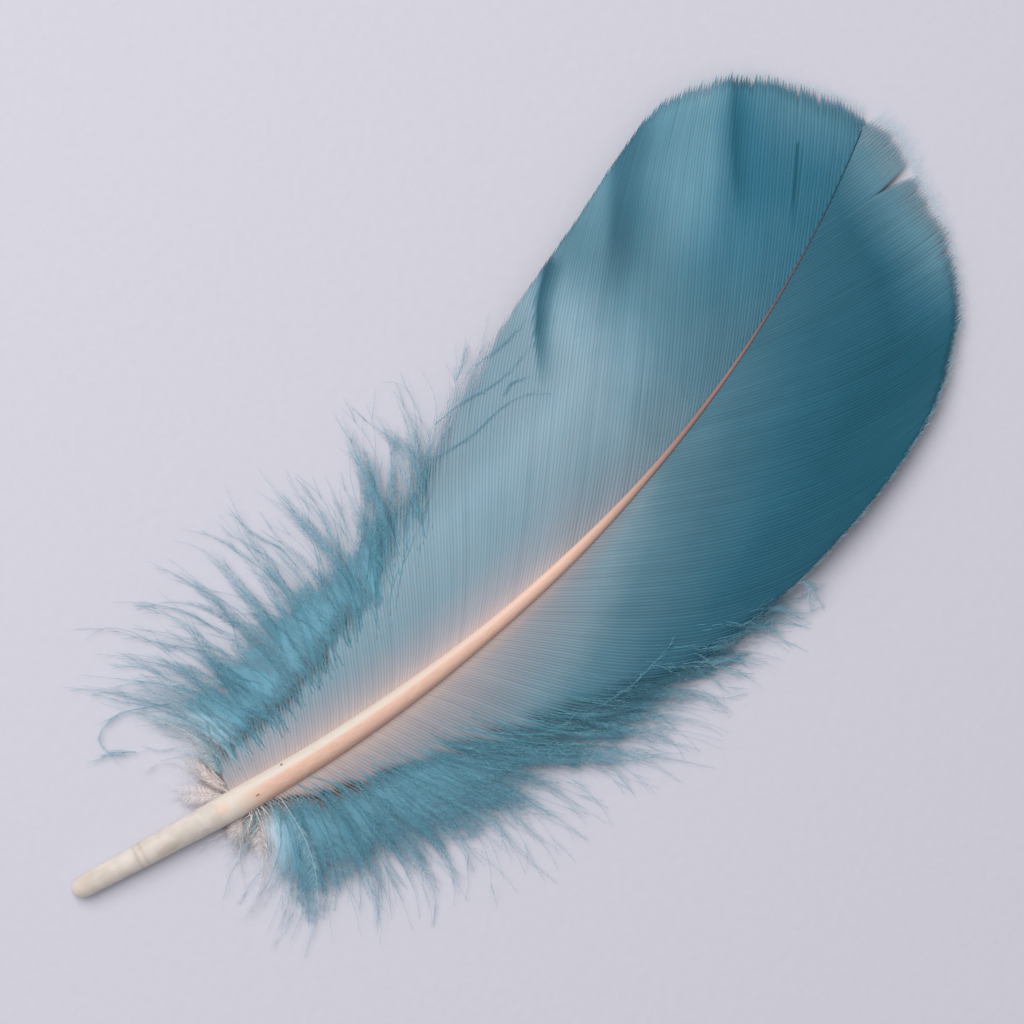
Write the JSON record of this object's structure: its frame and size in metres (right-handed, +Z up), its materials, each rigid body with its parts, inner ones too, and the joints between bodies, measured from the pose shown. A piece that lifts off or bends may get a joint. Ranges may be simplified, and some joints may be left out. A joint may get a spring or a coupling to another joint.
{
  "type": "turkey wing feather",
  "caption": "Dyed wing feather lying flat: bare quill, curved shaft, a broad vane on each side and a fringe of downy locks round the lower half.",
  "frame": {"origin": "on the table, under the middle of the feather's bounding box", "axes": "+X from the quill's tip towards the vane's tip, +Y to the feather's left, +Z up from the table"},
  "size_m": [0.1602, 0.0734, 0.0066],
  "materials": {
    "vane": "matte dyed barbs",
    "shaft": "polished horn",
    "dyed_down": "soft down",
    "pale_down": "soft undyed down"
  },
  "bodies": {
    "root": {"feather": "vane"}
  },
  "joints": []
}
